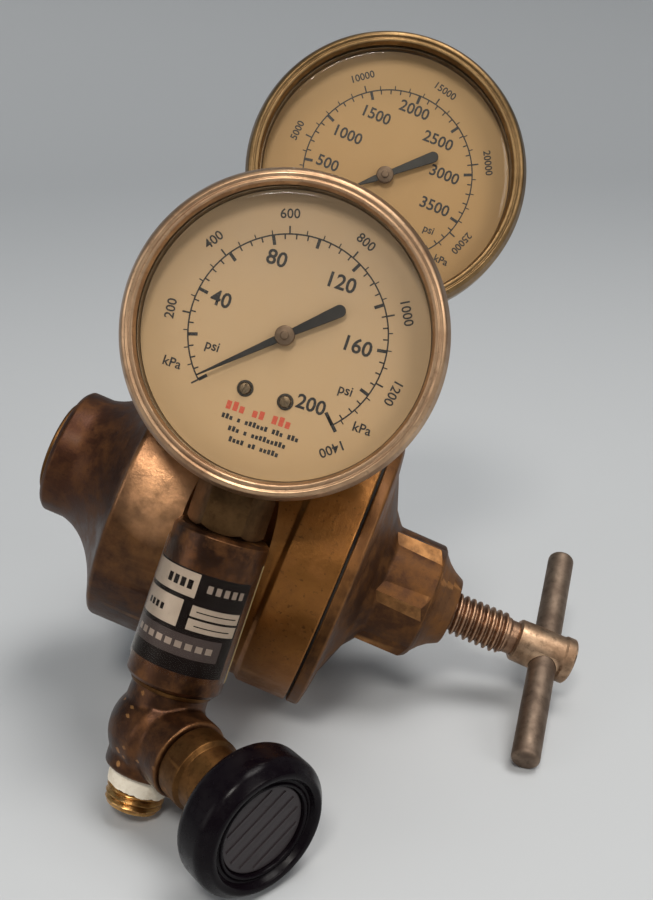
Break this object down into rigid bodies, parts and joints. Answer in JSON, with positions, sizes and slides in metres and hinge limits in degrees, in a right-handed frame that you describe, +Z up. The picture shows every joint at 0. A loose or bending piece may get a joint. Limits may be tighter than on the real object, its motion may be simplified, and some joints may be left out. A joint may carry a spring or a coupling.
{
  "type": "gas pressure regulator",
  "caption": "Brass compressed-gas pressure regulator with round dial gauges, T-handle adjusting screw, needle valve and threaded outlet, lying on a bench.",
  "frame": {"origin": "centre of the bounding box at the bench surface on which the regulator lies", "axes": "+Z up from the bench, -Y the side that the gauges face, +X towards the T-handle's end"},
  "size_m": [0.1424, 0.1652, 0.1662],
  "materials": {
    "brass_casting": "aged, brown patina",
    "machined_brass": "turned, dulled",
    "sintered_bronze": "porous",
    "steel": "plain",
    "worn_steel": "worn plating over brassy threads",
    "dark_steel": "dull grey-brown",
    "gauge_case": "dull bronze",
    "bezel_steel": "worn polished",
    "bezel_brass": "worn polished",
    "crystal": "clear",
    "dial": "cream enamel, printed scale",
    "pointer": "matt black",
    "rubber": "matt",
    "black_plastic": "worn gloss",
    "label": "foil label under clear film",
    "ptfe": "white"
  },
  "bodies": {
    "regulator": {"body_casting": "brass_casting", "bonnet": "brass_casting", "delivery_bezel": "bezel_steel", "delivery_bourdon_tube": "machined_brass", "delivery_case": "gauge_case", "delivery_crystal": "crystal", "delivery_dial": "dial", "delivery_dial_screw_1": "machined_brass", "delivery_dial_screw_2": "machined_brass", "delivery_movement_plate": "machined_brass", "delivery_socket": "machined_brass", "diaphragm": "rubber", "diaphragm_plate": "steel", "end_cap": "machined_brass", "inlet_filter": "sintered_bronze", "inlet_nipple": "machined_brass", "label_sleeve": "label", "outlet_column": "brass_casting", "outlet_nipple": "machined_brass", "packing_ring": "ptfe", "poppet_spring": "steel", "range_spring": "steel", "seat_nozzle": "machined_brass", "side_nipple": "machined_brass", "supply_bezel": "bezel_brass", "supply_bourdon_tube": "machined_brass", "supply_case": "gauge_case", "supply_crystal": "crystal", "supply_dial": "dial", "supply_dial_screw_1": "machined_brass", "supply_dial_screw_2": "machined_brass", "supply_movement_plate": "machined_brass", "supply_socket": "machined_brass", "thread_tape": "ptfe", "valve_body": "brass_casting", "valve_bonnet": "machined_brass"},
    "screw_follower": {"spring_button": "machined_brass"},
    "adjuster": {"adjusting_screw": "worn_steel", "tee_bar": "dark_steel"},
    "valve_spindle": {"valve_stem": "steel"},
    "knob": {"valve_knob": "black_plastic", "knob_insert": "black_plastic"},
    "poppet": {"poppet": "steel"},
    "inlet_nut": {"inlet_nut": "brass_casting"},
    "delivery_pointer": {"delivery_pointer": "pointer"},
    "delivery_sector": {"delivery_sector": "machined_brass"},
    "supply_pointer": {"supply_pointer": "pointer"},
    "supply_sector": {"supply_sector": "machined_brass"}
  },
  "joints": [
    {"name": "screw_travel", "type": "slide", "parent": "regulator", "child": "screw_follower", "axis": [0.9205, -0.122, -0.3712], "range_m": [-0.00634, 0.00181], "deforming": ["range_spring"]},
    {"name": "screw_turn", "type": "hinge", "parent": "screw_follower", "child": "adjuster", "pos_m": [0.00647, 0.00751, 0.03583], "axis": [0.9205, -0.122, -0.3712], "range_deg": [-1260, 360]},
    {"name": "valve_travel", "type": "slide", "parent": "regulator", "child": "valve_spindle", "axis": [0.6558, -0.7518, -0.068], "range_m": [0, 0.00253]},
    {"name": "knob_turn", "type": "hinge", "parent": "valve_spindle", "child": "knob", "pos_m": [-0.03379, -0.04175, 0.01886], "axis": [0.6558, -0.7518, -0.068], "range_deg": [0, 720]},
    {"name": "poppet_slide", "type": "slide", "parent": "regulator", "child": "poppet", "axis": [0.9205, -0.122, -0.3712], "range_m": [-0.001, 0], "stiffness_N_per_m": 600, "springref_m": 0.004, "deforming": ["poppet_spring"]},
    {"name": "inlet_nut_turn", "type": "hinge", "parent": "regulator", "child": "inlet_nut", "pos_m": [-0.01912, 0.0109, 0.04614], "axis": [-0.0812, 0.8694, -0.4873], "continuous": true},
    {"name": "delivery_pointer_turn", "type": "hinge", "parent": "regulator", "child": "delivery_pointer", "pos_m": [-0.00381, -0.02405, 0.10471], "axis": [0, 0.95, -0.3123], "range_deg": [0, 270], "stiffness_Nm_per_rad": 0.0005},
    {"name": "delivery_sector_turn", "type": "hinge", "parent": "regulator", "child": "delivery_sector", "pos_m": [-0.00674, -0.02671, 0.09663], "axis": [0, 0.95, -0.3123], "range_deg": [-50, 0]},
    {"name": "supply_pointer_turn", "type": "hinge", "parent": "regulator", "child": "supply_pointer", "pos_m": [0.01819, 0.032, 0.13175], "axis": [0, 0.95, -0.3123], "range_deg": [0, 270], "stiffness_Nm_per_rad": 0.0005},
    {"name": "supply_sector_turn", "type": "hinge", "parent": "regulator", "child": "supply_sector", "pos_m": [0.01468, 0.02941, 0.12388], "axis": [0, 0.95, -0.3123], "range_deg": [-50, 0]}
  ],
  "couplings": [
    {"joint": "screw_turn", "follows": "screw_travel", "rad_per_m": 3463.2},
    {"joint": "knob_turn", "follows": "valve_travel", "rad_per_m": 4947.4},
    {"joint": "delivery_sector_turn", "follows": "delivery_pointer_turn", "ratio": -0.18367},
    {"joint": "supply_sector_turn", "follows": "supply_pointer_turn", "ratio": -0.18367}
  ]
}
